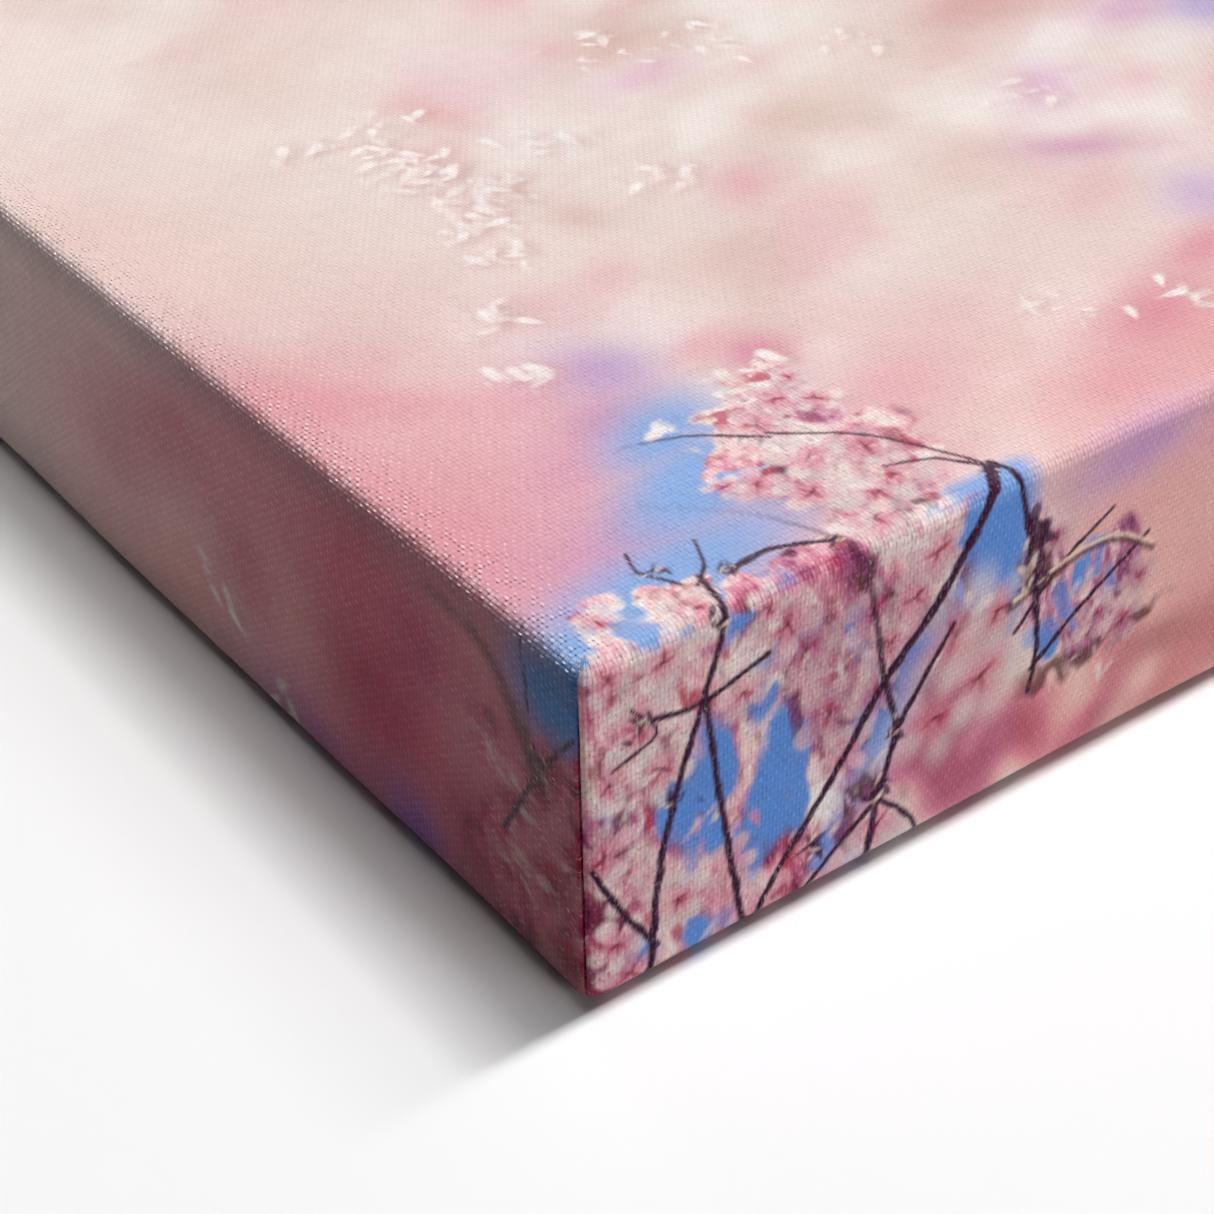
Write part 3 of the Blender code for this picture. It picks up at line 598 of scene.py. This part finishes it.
def paint_picture(a, b):
    """The colour of the print at each point of the flat cloth, with painted shade on the long side face, and
    how much fine detail it has.
    """
    rng = np.random.default_rng(20)
    picture = np.zeros((len(a), 4))
    color = picture[:, :3]
    color += linear(239, 219, 213)
    paint_haze(color, a, b, rng)
    corner = NearCorner(color, a, b, picture[:, 3])
    paint_open_sky(corner)
    paint_near_spray(corner)
    paint_far_strokes(corner)
    paint_second_spray(corner)
    paint_folds(corner)
    paint_flowers(color, a, b, rng, picture[:, 3])
    paint_marks(color, a, b, rng)
    paint_twigs(color, a, b, rng)
    # Nothing in a print is quite even.
    cloud = layered(a / 9.0, b / 9.0, 101, 3) - 0.5
    color *= (0.952 + 0.05 * cloud)[:, None]
    # Painted shade: the long side face is made darker, and darkest just under the fold.
    long_side_shade = np.interp(a, (-38, -20, -6, -1.6), (0.72, 0.64, 0.60, 0.46)) - 1
    down = smooth((0.9 - a) / 1.8)
    color *= (1 + long_side_shade * down)[:, None]
    # More painted shade on the long side face towards its near end: darker and more saturated there.
    grey = color.mean(axis=1, keepdims=True)
    near_end_shade = down * smooth((95 - b) / 60)
    color += (color - grey) * (0.40 * near_end_shade)[:, None]
    color *= (1 - 0.30 * near_end_shade)[:, None]
    return np.clip(picture, 0.004, 0.97)


# ================================================================ the cloth

def breaks(*stops):
    """Grid lines through the stops: each stop is (position, spacing up to the next one)."""
    lines = [stops[0][0]]
    for (start, step), (end, _) in zip(stops, stops[1:]):
        count = max(1, round((end - start) / step))
        lines.extend(start + (end - start) * i / count for i in range(1, count + 1))
    return lines


def grid_patch(bm, cache, xs, ys, lift=None):
    """A sheet of quads on the flat cloth. lift keeps an upright corner apart from its neighbour."""
    def vertex(x, y):
        z = lift(x) if lift else 0.0
        key = (round(x, 8), round(y, 8), round(z, 8))
        if key not in cache:
            cache[key] = bm.verts.new((x, y, z))
        return cache[key]

    rows = [[vertex(x, y) for x in xs] for y in ys]
    for low, high in zip(rows, rows[1:]):
        for i in range(len(xs) - 1):
            bm.faces.new((low[i], low[i + 1], high[i + 1], high[i]))


def flat_cloth():
    """The cloth laid flat as a cross: the face, four side flaps, and the turns of the corners."""
    bm = bmesh.new()
    cache = {}
    cell, fine, margin = 0.0045, 0.00025, 0.001
    xs, ys = (breaks((-half, fine), (margin - half, cell), (half - margin, fine), (half, 0))
              for half in (FLAT_X, FLAT_Y))
    down = breaks((0.0, ARC / 8), (ARC, cell), (ARC + SIDE, ARC_BACK / 5), (REACH, 0))
    hem = breaks((REACH, 0.005), (REACH + HEM - ROUND, 0))
    grid_patch(bm, cache, xs, ys)
    # Turns of the upright corners, with close lines at the seam.
    marks = (0, 10, 20, 30, 38, 44, 49, 52, 54, 55.5, 57, 58, 59, 60.5, 62, 64, 67, 72, 80, 90)
    turn = [ARC * mark / 90 for mark in marks]
    for side in (-1, 1):
        sx = [side * (FLAT_X + d) for d in down + hem[1:]]
        sy = [side * (FLAT_Y + d) for d in down + hem[1:]]
        grid_patch(bm, cache, sorted(sx), ys)
        grid_patch(bm, cache, xs, sorted(sy))
        dy = sorted(side * (FLAT_Y + d) for d in down)
        for end in (-1, 1):
            wx = sorted(end * (FLAT_X + t) for t in turn)
            grid_patch(bm, cache, wx, dy, lift=lambda x: abs(x) - FLAT_X)
    bmesh.ops.recalc_face_normals(bm, faces=bm.faces)
    for face in bm.faces:
        if face.normal.z < 0:
            face.normal_flip()
    return bm


def flat_coordinates(bm):
    bm.verts.ensure_lookup_table()
    bm.verts.index_update()
    co = np.array([v.co[:] for v in bm.verts])
    return co, 1000 * (co[:, 0] + WRAP[0]), 1000 * (co[:, 1] + WRAP[1])


def refine(bm):
    """Split the quads wherever the picture changes faster than they can carry it."""
    for smallest, contrast in ((0.0022, 0.05), (0.0011, 0.06), (0.00055, 0.10), (0.00027, 0.19)):
        co, a, b = flat_coordinates(bm)
        color = paint_picture(a, b)[:, :3]
        far_contrast = contrast * (2.2 if smallest > 0.001 else 99.0)
        everywhere = smallest > 0.0005  # only the last round leaves out what changes little
        todo = set()
        for face in bm.faces:
            if max(e.calc_length() for e in face.edges) < smallest:
                continue
            index = [v.index for v in face.verts]
            at_a, at_b = a[index].mean(), b[index].mean()
            close = -45 < at_a < 125 and -45 < at_b < 120
            in_focus = close and at_b < 33 and at_a < 76 and (at_b < 2 or at_a > -2)
            # The two cloths that meet at the near corner are divided alike.
            at_seam = (abs(at_a) < 3 and at_b < 1) or (-44 < at_a < 1 and abs(at_b) < 3)
            limit = contrast if close else far_contrast
            if (everywhere and (in_focus or at_seam)) or np.ptp(color[index], axis=0).max() > limit:
                todo.update(e for e in face.edges if e.calc_length() > 0.6 * smallest)
        if todo:
            bmesh.ops.subdivide_edges(bm, edges=list(todo), cuts=1, use_grid_fill=True)


def drop(d):
    """(reach outwards from the flat part, height) at a distance d past the face's flat part."""
    front = np.clip(d, 0, ARC) / ROUND
    side = np.clip(d - ARC, 0, SIDE)
    back = np.clip(d - ARC - SIDE, 0, ARC_BACK) / ROUND_BACK
    hem = np.maximum(d - REACH, 0)
    reach = ROUND * np.sin(front) - ROUND_BACK * (1 - np.cos(back)) - hem
    height = TOP - ROUND * (1 - np.cos(front)) - side - ROUND_BACK * np.sin(back)
    return reach, height, hem


def seam_profile(theta, height):
    """How far the cloth stands out from a plain rounded corner: a folded edge beside a crease."""
    drop_from_top = (TOP - height) * 1000
    open_up = smooth((drop_from_top - 2.0) / 9.0)
    close_down = smooth((height - HEM_Z - 0.0008) * 1000 / 2.5)
    opened = open_up * (0.35 + 0.65 * close_down)
    crease = np.exp(-((theta - SEAM_ANGLE) / 0.040) ** 2)
    past = smooth((theta - SEAM_ANGLE - 0.02) / 0.20)
    flat = ROUND * (1 / np.maximum(np.sin(theta), 0.5) - 1)
    return opened * (past * flat - CREASE * crease) - 0.00006 * np.exp(
        -((theta - SEAM_ANGLE) / 0.05) ** 2) * (1 - opened)


def wrap_cloth(co):
    """Fold the flat cloth over the frame."""
    x, y, lift = co[:, 0], co[:, 1], co[:, 2]
    sx, sy = np.sign(x), np.sign(y)
    over_x = np.maximum(np.abs(x) - FLAT_X, 0)
    over_y = np.maximum(np.abs(y) - FLAT_Y, 0)
    corner = lift > 1e-7
    over_x = np.where(corner, 0, over_x)
    along_x = np.minimum(np.abs(x), FLAT_X)
    along_y = np.minimum(np.abs(y), FLAT_Y)
    reach_x, height_x, hem_x = drop(over_x)
    reach_y, height_y, hem_y = drop(over_y)
    out_x, out_y = sx * (along_x + reach_x), sy * (along_y + reach_y)
    out_z = np.where(over_x > 0, height_x, height_y)

    # The hems are mitred at their ends, and the long ones lie over the tips of the short ones.
    on_short_hem = (hem_y > 0) & ~corner
    squeeze = np.maximum(hem_y - TUCK, 0) * smooth(1 - (FLAT_X - along_x) / MITRE)
    out_x = np.where(on_short_hem, sx * (along_x - squeeze), out_x)
    on_long_hem = (hem_x > 0) & ~corner
    squeeze = hem_x * smooth(1 - (FLAT_Y - along_y) / MITRE)
    out_y = np.where(on_long_hem, sy * (along_y - squeeze), out_y)
    under = smooth(1 - (FLAT_Y - along_y) / 0.012) * smooth(hem_x / 0.0015)
    out_z = np.where(on_long_hem, out_z - UNDERLAP * under, out_z)

    # Upright corners.
    theta = np.where(corner, lift, 0) / ROUND
    radius = np.where(over_y > 0, reach_y, 0.0)
    radius = radius + seam_profile(theta, height_y) * np.clip(radius / ROUND, 0, 1)
    out_x = np.where(corner, sx * (FLAT_X + radius * np.sin(theta)), out_x)
    out_y = np.where(corner, sy * (FLAT_Y + radius * np.cos(theta)), out_y)

    # Slow waves where the pull of the staples varies; none at the corners.
    side_x = smooth((over_x - ARC) / 0.01) * (hem_x <= 0)
    side_y = smooth((over_y - ARC) / 0.01) * (hem_y <= 0) * ~corner
    calm_y = smooth((FLAT_Y - along_y) / 0.02)
    calm_x = smooth((FLAT_X - along_x) / 0.02)
    wave = np.sin(y * 117 + 1.0) * 0.6 + np.sin(y * 51 + x * 60) * 0.8
    out_x += sx * side_x * calm_y * (SWELL * wave - HOLLOW)
    wave = np.sin(x * 109 + 0.4) * 0.6 + np.sin(x * 47 - y * 60) * 0.8
    out_y += sy * side_y * calm_x * (SWELL * wave - HOLLOW)
    return np.stack((out_x, out_y, out_z), axis=1)


def make_cloth(face_material, back_material):
    bm = flat_cloth()
    refine(bm)
    bmesh.ops.triangulate(bm, faces=[face for face in bm.faces if len(face.verts) > 4])
    co, a, b = flat_coordinates(bm)
    # Past the seam of an upright corner the cloth belongs to the long side.
    sx, sy = np.sign(co[:, 0]), np.sign(co[:, 1])
    far_a = 1000 * (sx * (FLAT_X + np.abs(co[:, 1]) - FLAT_Y) + WRAP[0])
    far_b = 1000 * (sy * (FLAT_Y + ARC - co[:, 2]) + WRAP[1])
    past = np.nonzero(co[:, 2] > SEAM_ANGLE * ROUND - 1e-4)[0]
    color = paint_picture(np.concatenate((a, far_a[past])), np.concatenate((b, far_b[past])))
    far_color = dict(zip(past.tolist(), color[len(a):]))
    folded = wrap_cloth(co)
    place = bm.loops.layers.float_vector.new("cloth")
    ink = bm.loops.layers.float_color.new("print")
    for face in bm.faces:
        face.smooth = True
        index = [v.index for v in face.verts]
        beyond = co[index, 2].mean() > SEAM_ANGLE * ROUND and co[index, 2].min() > 1e-7
        for loop, i in zip(face.loops, index):
            at = (far_a[i], far_b[i]) if beyond else (a[i], b[i])
            loop[place] = (at[0] / 1000, at[1] / 1000, 0.0)
            loop[ink] = far_color[i] if beyond else color[i]
    for vertex, point in zip(bm.verts, folded):
        vertex.co = point
    bmesh.ops.remove_doubles(bm, verts=bm.verts, dist=2e-6)
    bmesh.ops.dissolve_degenerate(bm, edges=bm.edges, dist=1e-7)
    mesh = bpy.data.meshes.new("canvas_cloth")
    bm.to_mesh(mesh)
    bm.free()
    for material in (face_material, back_material):
        mesh.materials.append(material)
    cloth = bpy.data.objects.new("canvas_cloth", mesh)
    bpy.context.scene.collection.objects.link(cloth)
    solid = cloth.modifiers.new("thickness", "SOLIDIFY")
    solid.thickness = CLOTH
    solid.offset = -1.0
    solid.material_offset = 1
    solid.material_offset_rim = 1
    return cloth


# ================================================================ materials

class Nodes:
    """Short calls for building a node tree."""

    def __init__(self, name):
        self.material = bpy.data.materials.new(name)
        self.material.use_nodes = True
        self.tree = self.material.node_tree
        self.shader = self.tree.nodes["Principled BSDF"]

    def add(self, kind, inputs=(), **settings):
        node = self.tree.nodes.new("ShaderNode" + kind)
        for key, value in settings.items():
            setattr(node, key, value)
        for key, value in dict(inputs).items():
            self.set(node.inputs[key], value)
        return node

    def set(self, socket, value):
        if isinstance(value, bpy.types.NodeSocket):
            self.tree.links.new(value, socket)
        else:
            socket.default_value = value

    def math(self, operation, *values, clamp=False):
        node = self.add("Math", operation=operation, use_clamp=clamp)
        for socket, value in zip(node.inputs, values):
            self.set(socket, value)
        return node.outputs[0]

    def times(self, one, two):
        return self.math("MULTIPLY", one, two)

    def mix(self, factor, one, two, kind="MIX"):
        node = self.add("Mix", data_type="RGBA", blend_type=kind)
        for key, value in ((0, factor), (6, one), (7, two)):
            if isinstance(value, tuple):
                value = (*value, 1.0)
            self.set(node.inputs[key], value)
        return node.outputs[2]

    def remap(self, value, low, high, new_low=0.0, new_high=1.0):
        node = self.add("MapRange", interpolation_type="SMOOTHSTEP")
        for key, number in enumerate((value, low, high, new_low, new_high)):
            self.set(node.inputs[key], number)
        return node.outputs[0]

    def noise(self, vector, scale, detail=2.0, rough=0.5, distortion=0.0):
        node = self.add("TexNoise", {"Vector": vector, "Scale": scale, "Detail": detail,
                                     "Roughness": rough, "Distortion": distortion})
        return node.outputs["Fac"]

    def scaled(self, vector, x, y, z):
        node = self.add("VectorMath", operation="MULTIPLY")
        self.set(node.inputs[0], vector)
        node.inputs[1].default_value = (x, y, z)
        return node.outputs[0]

    def bump(self, height, distance, strength):
        return self.add("Bump", {"Strength": strength, "Distance": distance, "Height": height}).outputs[0]

    def attribute(self, name, output):
        return self.add("Attribute", attribute_name=name).outputs[output]

    def surface(self, **values):
        """Set or link the shader's own sockets, then hand over the material."""
        for name, value in values.items():
            self.set(self.shader.inputs[name.replace("_", " ")], value)
        return self.material


def plain_weave(n, cloth):
    """(height, pits, luck of each crown): one over, one under, from coordinates on the flat cloth."""
    split = n.add("SeparateXYZ", {"Vector": cloth})
    slow = n.noise(cloth, 90.0, 2.0)
    slub_a = n.noise(n.scaled(cloth, 900.0, 60.0, 1.0), 1.0, 2.0)
    slub_b = n.noise(n.scaled(cloth, 60.0, 700.0, 1.0), 1.0, 2.0)
    drift = n.math("MULTIPLY_ADD", slow, 0.9, -0.45)
    u = n.math("ADD", n.times(split.outputs[0], 1 / PITCH_A), drift)
    v = n.math("ADD", n.times(split.outputs[1], 1 / PITCH_B), drift)
    across_u = n.math("SUBTRACT", n.math("FRACT", u), 0.5)
    across_v = n.math("SUBTRACT", n.math("FRACT", v), 0.5)
    uu = n.times(n.times(across_u, across_u), 4.0)
    vv = n.times(n.times(across_v, across_v), 4.0)
    parity = n.times(n.math("SINE", n.times(u, math.pi)),
                    n.math("SINE", n.times(v, math.pi)))
    over = n.math("GREATER_THAN", parity, 0.0)
    # Threads along Y lie over where the cell is even, threads along X where it is odd.
    warp = n.times(n.math("SUBTRACT", 1.0, uu), n.math("MULTIPLY_ADD", vv, -0.55, 1.0))
    weft = n.times(n.math("SUBTRACT", 1.0, vv), n.math("MULTIPLY_ADD", uu, -0.55, 1.0))
    warp = n.times(warp, n.math("MULTIPLY_ADD", slub_a, 0.6, 0.70))
    weft = n.times(weft, n.math("MULTIPLY_ADD", slub_b, 0.6, 0.15))
    difference = n.math("SUBTRACT", warp, weft)
    height = n.math("MULTIPLY_ADD", difference, over, weft)
    # The gaps at the crossings are open by chance, some wide, most nearly shut.
    corner_u = n.math("FLOOR", n.math("ADD", u, 0.5))
    corner_v = n.math("FLOOR", n.math("ADD", v, 0.5))
    crossing = n.add("CombineXYZ", {0: corner_u, 1: corner_v})
    chance = n.add("TexWhiteNoise", {"Vector": crossing.outputs[0]}).outputs["Value"]
    pits = n.times(n.times(uu, vv), n.remap(chance, 0.25, 0.95))
    cell = n.add("CombineXYZ", {0: n.math("FLOOR", u), 1: n.math("FLOOR", v)})
    luck = n.add("TexWhiteNoise", {"Vector": cell.outputs[0]}).outputs["Value"]
    return height, pits, luck


def fold_band_mask(n, cloth):
    """Where the printed cloth turns over a long front edge: 1 beside the fold, in patches, 0 away."""
    split = n.add("SeparateXYZ", {"Vector": cloth})
    inward = n.math("MINIMUM", split.outputs[0], n.math("SUBTRACT", 2 * WRAP[0], split.outputs[0]))
    patchy = n.noise(cloth, 300.0, 3.0, 0.6)
    ragged = n.math("ADD", inward, n.math("MULTIPLY_ADD", patchy, -0.0060, 0.0030))
    on_face = n.math("MINIMUM", split.outputs[1], n.math("SUBTRACT", 2 * WRAP[1], split.outputs[1]))
    beside = n.times(n.remap(ragged, -0.0006, 0.0003),
                    n.remap(ragged, 0.0010, 0.0068, 1.0, 0.0))
    return n.times(beside, n.remap(on_face, -0.0015, 0.0005))


def print_material():
    n = Nodes("printed_cotton_canvas")
    cloth = n.attribute("cloth", "Vector")
    ink = n.attribute("print", "Color")
    height, pits, luck = plain_weave(n, cloth)
    fold_band = fold_band_mask(n, cloth)
    grain = n.noise(cloth, 2600.0, 2.0, 0.6)
    blotch = n.noise(cloth, 420.0, 3.0, 0.55)
    # Paler on the crowns of the threads, dark in the gaps between them: painted light and shade of the
    # weave's relief, over ink that takes unevenly.
    crown = n.remap(height, 0.1, 0.85, 0.915, 1.025)
    tone = n.times(crown, n.remap(pits, 0.30, 0.85, 1.0, 0.50))
    # Painted shade: beside a long front fold the gaps between the threads are darkened further.
    open_pits = n.times(n.remap(pits, 0.05, 0.45, 0.0, 0.66), fold_band)
    tone = n.times(tone, n.math("SUBTRACT", 1.0, open_pits))
    tone = n.times(tone, n.remap(grain, 0.25, 0.75, 0.985, 1.015))
    tone = n.times(tone, n.remap(blotch, 0.3, 0.7, 0.985, 1.015))
    # Where the picture is in focus, strokes too fine for the colour attribute.
    detail = n.attribute("print", "Alpha")
    streak = n.noise(n.scaled(cloth, 2300.0, 900.0, 1.0), 1.0, 3.0, 0.65, 0.6)
    tuft = n.noise(n.scaled(cloth, 1100.0, 800.0, 1.0), 1.0, 3.0, 0.6, 1.4)
    deep = n.times(n.remap(streak, 0.50, 0.30, 0.0, 0.34), detail)
    ink = n.mix(deep, ink, (0.42, 0.07, 0.14), "MULTIPLY")
    red = n.times(n.remap(tuft, 0.58, 0.74, 0.0, 0.55), detail)
    ink = n.mix(red, ink, (0.80, 0.20, 0.30), "MULTIPLY")
    pale = n.times(n.remap(streak, 0.56, 0.74, 0.0, 0.32), detail)
    ink = n.mix(pale, ink, (0.93, 0.82, 0.79))
    # The stretched fold lets some crowns of the primed thread show pale; these pale crowns are also painted
    # glints of the edge's sheen.
    bare_and_glint = n.times(n.remap(height, 0.30, 0.85, 0.0, 0.42), n.remap(luck, 0.40, 1.0))
    ink = n.mix(n.times(bare_and_glint, fold_band), ink, (0.93, 0.88, 0.87))
    shade = n.add("VectorMath", operation="SCALE")
    n.set(shade.inputs[0], ink)
    n.set(shade.inputs["Scale"], tone)
    polish = n.remap(height, 0.1, 0.85, 0.75, 0.42)
    rough = n.math("ADD", polish, n.math("MULTIPLY_ADD", luck, 0.50, -0.16), clamp=True)
    return n.surface(Base_Color=shade.outputs[0], Roughness=rough, Specular_IOR_Level=0.12,
                     Normal=n.bump(height, 0.00016, 0.8))


def raw_cloth_material():
    n = Nodes("raw_canvas_back")
    cloth = n.attribute("cloth", "Vector")
    height, pits, _ = plain_weave(n, cloth)
    fleck = n.noise(n.scaled(cloth, 160.0, 1500.0, 1.0), 1.0, 3.0, 0.6)
    wide = n.noise(cloth, 25.0, 3.0, 0.55)
    color = n.mix(n.remap(wide, 0.3, 0.7), (0.80, 0.765, 0.69), (0.72, 0.67, 0.575))
    color = n.mix(n.remap(fleck, 0.62, 0.74, 0.0, 0.45), color, (0.36, 0.27, 0.16))
    # Painted shade: the gaps between the threads are darkened.
    color = n.mix(n.remap(pits, 0.3, 0.95, 0.0, 0.55), color, (0.30, 0.24, 0.17))
    return n.surface(Base_Color=color, Roughness=n.remap(height, 0.0, 1.0, 0.95, 0.82),
                     Normal=n.bump(height, 0.00013, 0.8), Sheen_Weight=0.15)


def wood_material(name, axis, pale, dark, ring_scale, seed):
    """Planed wood with its grain along one axis: 0 for X, 1 for Y."""
    n = Nodes(name)
    place = n.add("TexCoord").outputs["Object"]
    stretch = [1.0, 1.0, 1.0]
    stretch[axis] = 0.045
    shifted = n.add("VectorMath", operation="ADD")
    n.set(shifted.inputs[0], n.scaled(place, *stretch))
    shifted.inputs[1].default_value = (seed, 0.37 * seed, 0.11 * seed)
    along = shifted.outputs[0]
    bend = n.noise(along, 16.0, 3.0, 0.5)
    rings = n.add("TexWave", {"Vector": along, "Scale": ring_scale, "Distortion": 5.0, "Detail": 3.0,
                              "Detail Scale": 1.4},
                  wave_type="RINGS", rings_direction="XYZ"[axis], wave_profile="SAW").outputs["Fac"]
    fibre = n.noise(along, 900.0, 3.0, 0.6)
    pores = n.noise(n.scaled(along, 2600.0, 2600.0, 2600.0), 1.0, 1.0)
    band = n.remap(rings, 0.15, 0.95)
    color = n.mix(band, pale, dark)
    color = n.mix(n.remap(bend, 0.35, 0.7, 0.0, 0.35), color, tuple(0.82 * c for c in dark))
    color = n.mix(n.remap(fibre, 0.3, 0.75, 0.0, 0.30), color, tuple(0.62 * c for c in dark))
    rough = n.math("MULTIPLY_ADD", fibre, 0.22, 0.50)
    relief = n.math("ADD", n.times(fibre, 0.7), n.times(pores, 0.3))
    return n.surface(Base_Color=color, Roughness=rough, Specular_IOR_Level=0.35,
                     Normal=n.bump(relief, 0.00012, 0.6))


def staple_material():
    n = Nodes("galvanised_staple")
    place = n.add("TexCoord").outputs["Object"]
    spangle = n.noise(place, 900.0, 3.0, 0.6)
    scratch = n.noise(n.scaled(place, 5200.0, 5200.0, 900.0), 1.0, 2.0)
    color = n.mix(n.remap(spangle, 0.35, 0.7), (0.66, 0.67, 0.68), (0.45, 0.46, 0.48))
    return n.surface(Base_Color=color, Metallic=1.0, Roughness=n.remap(spangle, 0.3, 0.75, 0.24, 0.48),
                     Normal=n.bump(scratch, 0.00003, 0.5))


def floor_material():
    n = Nodes("studio_floor")
    place = n.add("TexCoord").outputs["Object"]
    haze = n.noise(place, 3.0, 2.0)
    color = n.mix(n.remap(haze, 0.3, 0.7), (0.893, 0.893, 0.893), (0.880, 0.881, 0.883))
    return n.surface(Base_Color=color, Roughness=n.remap(haze, 0.3, 0.7, 0.85, 0.95),
                     Specular_IOR_Level=0.0)


def dress(node, material):
    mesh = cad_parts[node].data
    mesh.materials.clear()
    mesh.materials.append(material)


# ================================================================ build

cloth = make_cloth(print_material(), raw_cloth_material())
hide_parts("canvas")
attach(cloth, "stretched_frame")

PINE, PINE_DARK = (0.79, 0.60, 0.36), (0.62, 0.40, 0.20)
BEECH, BEECH_DARK = (0.83, 0.68, 0.47), (0.70, 0.50, 0.30)
for number, node in enumerate(("bar_bottom", "bar_right", "bar_top", "bar_left")):
    dress(node, wood_material(f"pine_{node}", number % 2, PINE, PINE_DARK, 42.0, 0.6 + 1.7 * number))
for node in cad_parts:
    if node.startswith("key_"):
        axis = 0 if node.endswith("_x") else 1
        seed = 0.3 * len(node) + axis
        dress(node, wood_material(f"wood_{node}", axis, BEECH, BEECH_DARK, 70.0, seed))
steel = staple_material()
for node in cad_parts:
    if node.startswith("staple_"):
        dress(node, steel)

# ---------------------------------------------------------------- stage, light, camera

bpy.ops.mesh.primitive_plane_add(size=6.0, location=(0, 0, 0))
floor = bpy.context.object
floor.name = "floor"
floor.data.materials.append(floor_material())

world = bpy.data.worlds.new("studio")
bpy.context.scene.world = world
world.use_nodes = True
tree = world.node_tree
tree.nodes.clear()
out = tree.nodes.new("ShaderNodeOutputWorld")
back = tree.nodes.new("ShaderNodeBackground")
tree.links.new(back.outputs[0], out.inputs[0])
# A dim room: the lamps and the floor's bounce do the rest.
back.inputs["Strength"].default_value = 0.035

corner = Vector((LOW.x, LOW.y, 0.0))


def area_light(name, direction, distance, size, power):
    data = bpy.data.lights.new(name, "AREA")
    data.shape = "RECTANGLE"
    data.size, data.size_y = size
    data.energy = power
    lamp = bpy.data.objects.new(name, data)
    way = Vector(direction).normalized()
    lamp.location = corner + way * distance
    side = Vector((1, 0, 0)) if abs(way.x) < 0.8 else Vector((0, 1, 0))
    side = (side - side.dot(way) * way).normalized()
    lamp.rotation_euler = Matrix((side, way.cross(side), way)).transposed().to_euler()
    bpy.context.scene.collection.objects.link(lamp)
    return lamp


# A strip across the face, narrow in Y: a soft shadow on the long side, a tight one on the short.
area_light("strip", (0.245, 0.0145, 0.97), 3.0, (0.76, 0.12), 60.0)
area_light("strip_far", (0.45, 0.017, 0.89), 3.0, (1.05, 0.16), 18.0)
area_light("strip_over", (0.050, 0.0145, 1.0), 3.0, (0.30, 0.12), 14.0)
side = area_light("side", (0.42, -0.95, 0.20), 3.0, (1.6, 0.5), 24.0)
side.visible_glossy = False
# Two lamps that only give the cloth its sheen.
glint = area_light("glint", (-0.33, 0.66, 0.62), 1.2, (0.55, 0.45), 100.0)
glint.visible_diffuse = False
rim = area_light("rim", (0.62, -0.05, 0.78), 1.2, (0.5, 0.5), 30.0)
rim.visible_diffuse = False

# Fitted to the edges of the box in the photograph, with the side taken as 40 mm deep.
scale = (TOP - 0.0006) / 0.0400
camera_data = bpy.data.cameras.new("camera")
camera_data.sensor_width = 36.0
camera_data.lens = 70.9
camera = bpy.data.objects.new("camera", camera_data)
camera.location = corner + Vector((0, 0, TOP)) + scale * Vector((-0.0956, -0.1364, 0.1242))
look = Vector((0.4796, 0.6628, -0.5750)).normalized()
right = Vector((0.8034, -0.5952, -0.0160))
right = (right - right.dot(look) * look).normalized()
up = right.cross(look)
camera.rotation_euler = Matrix((right, up, -look)).transposed().to_euler()
camera_data.clip_start = 0.01
bpy.context.scene.collection.objects.link(camera)
bpy.context.scene.camera = camera
bpy.context.scene.view_settings.view_transform = "Standard"
